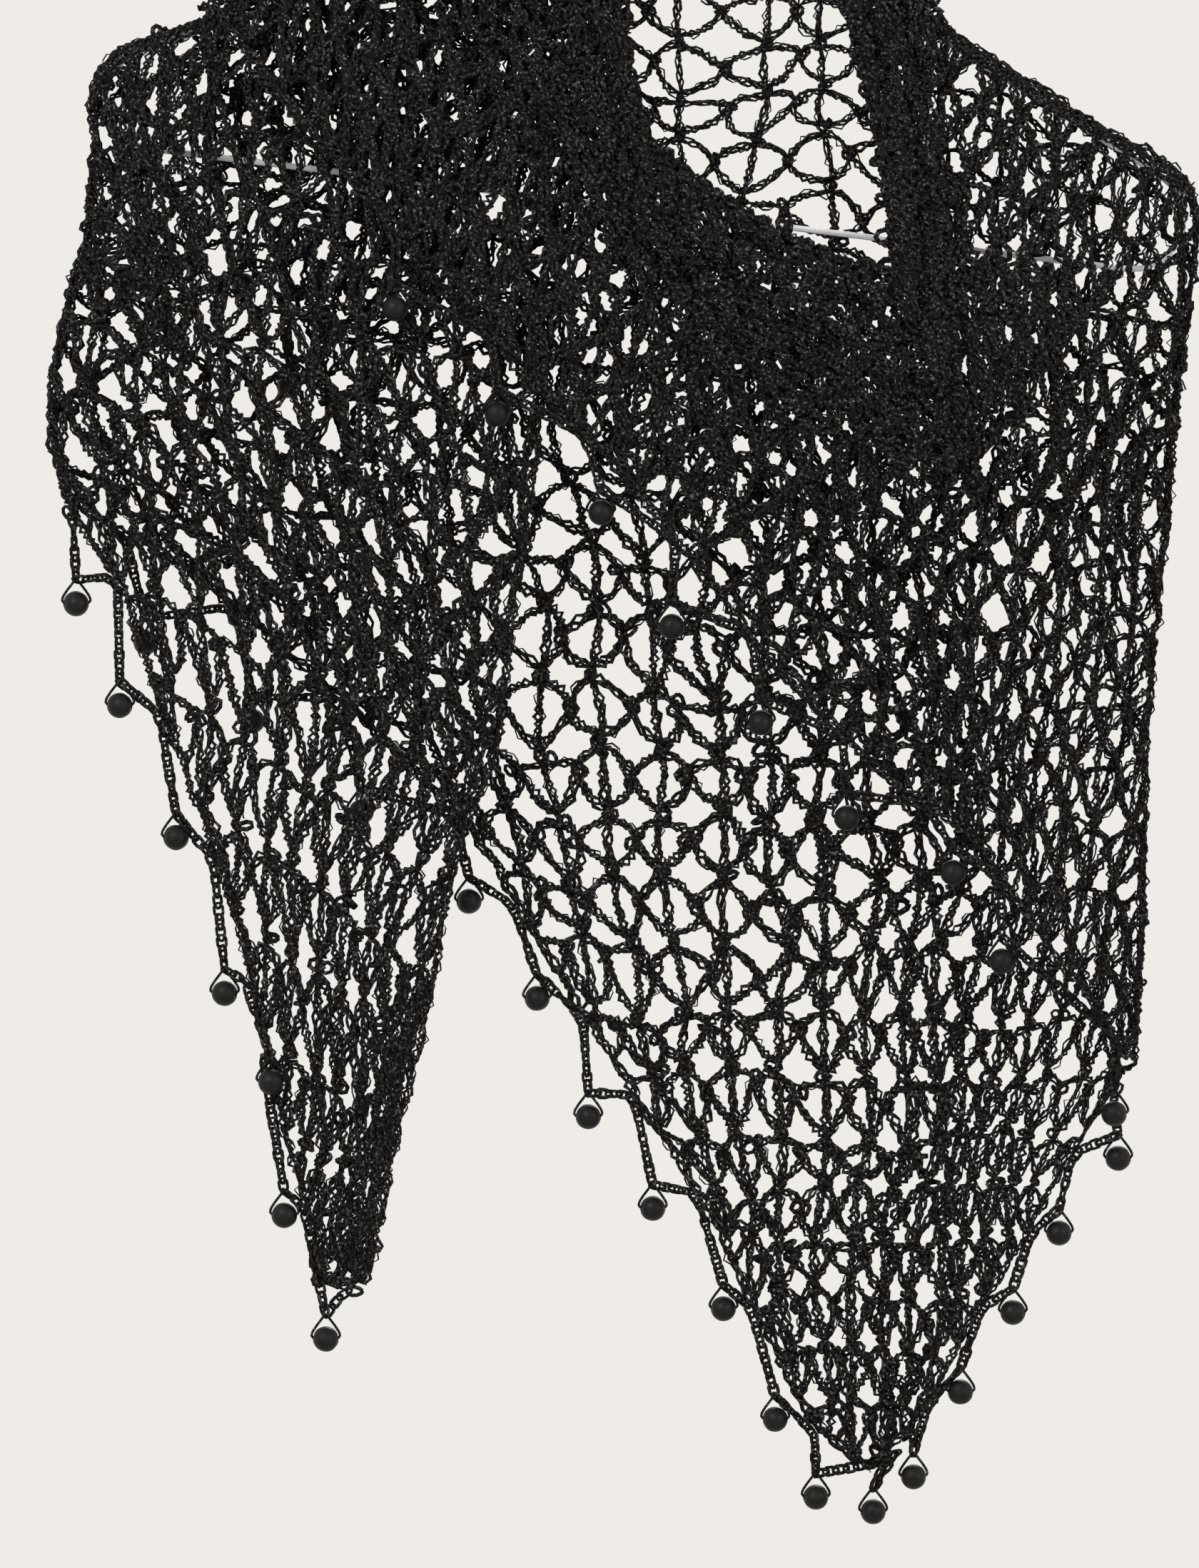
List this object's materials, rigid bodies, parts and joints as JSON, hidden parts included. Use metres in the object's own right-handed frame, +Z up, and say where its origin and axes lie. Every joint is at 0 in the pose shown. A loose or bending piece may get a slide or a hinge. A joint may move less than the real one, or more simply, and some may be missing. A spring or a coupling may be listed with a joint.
{
  "type": "crochet lace shawl on a wire clothes hanger",
  "caption": "Triangular black crochet lace shawl with beaded chain loops along its hems, draped over a white coated wire clothes hanger.",
  "frame": {"origin": "inside of the hanger's hook at its highest point, where a rail carries it", "axes": "+Z up, -Y towards the viewer of the shawl's front, +X to that viewer's right"},
  "size_m": [0.4524, 0.077, 0.7467],
  "materials": {
    "coated_wire": "white plastic coating, smooth",
    "crochet_yarn": "black yarn, open crochet lace with a faint sheen",
    "chain_yarn": "black yarn, crocheted chain",
    "bead_wood": "stained black, matt"
  },
  "bodies": {
    "root": {"hanger": "coated_wire", "shawl_back": "crochet_yarn", "shawl_left_wing": "crochet_yarn", "shawl_right_wing": "crochet_yarn", "shawl_tail": "crochet_yarn", "edging_left_wing": "chain_yarn", "edging_back_left": "chain_yarn", "edging_back_right": "chain_yarn", "edging_right_wing": "chain_yarn", "edging_tail": "chain_yarn", "bead_01": "bead_wood", "bead_02": "bead_wood", "bead_03": "bead_wood", "bead_04": "bead_wood", "bead_05": "bead_wood", "bead_06": "bead_wood", "bead_07": "bead_wood", "bead_08": "bead_wood", "bead_09": "bead_wood", "bead_10": "bead_wood", "bead_11": "bead_wood", "bead_12": "bead_wood", "bead_13": "bead_wood", "bead_14": "bead_wood", "bead_15": "bead_wood", "bead_16": "bead_wood", "bead_17": "bead_wood", "bead_18": "bead_wood", "bead_19": "bead_wood", "bead_20": "bead_wood", "bead_21": "bead_wood", "bead_22": "bead_wood", "bead_23": "bead_wood", "bead_24": "bead_wood", "bead_25": "bead_wood", "bead_26": "bead_wood", "bead_27": "bead_wood", "bead_28": "bead_wood", "bead_29": "bead_wood", "bead_30": "bead_wood", "bead_31": "bead_wood", "bead_32": "bead_wood", "bead_33": "bead_wood", "bead_34": "bead_wood", "bead_35": "bead_wood", "bead_36": "bead_wood"}
  },
  "joints": []
}
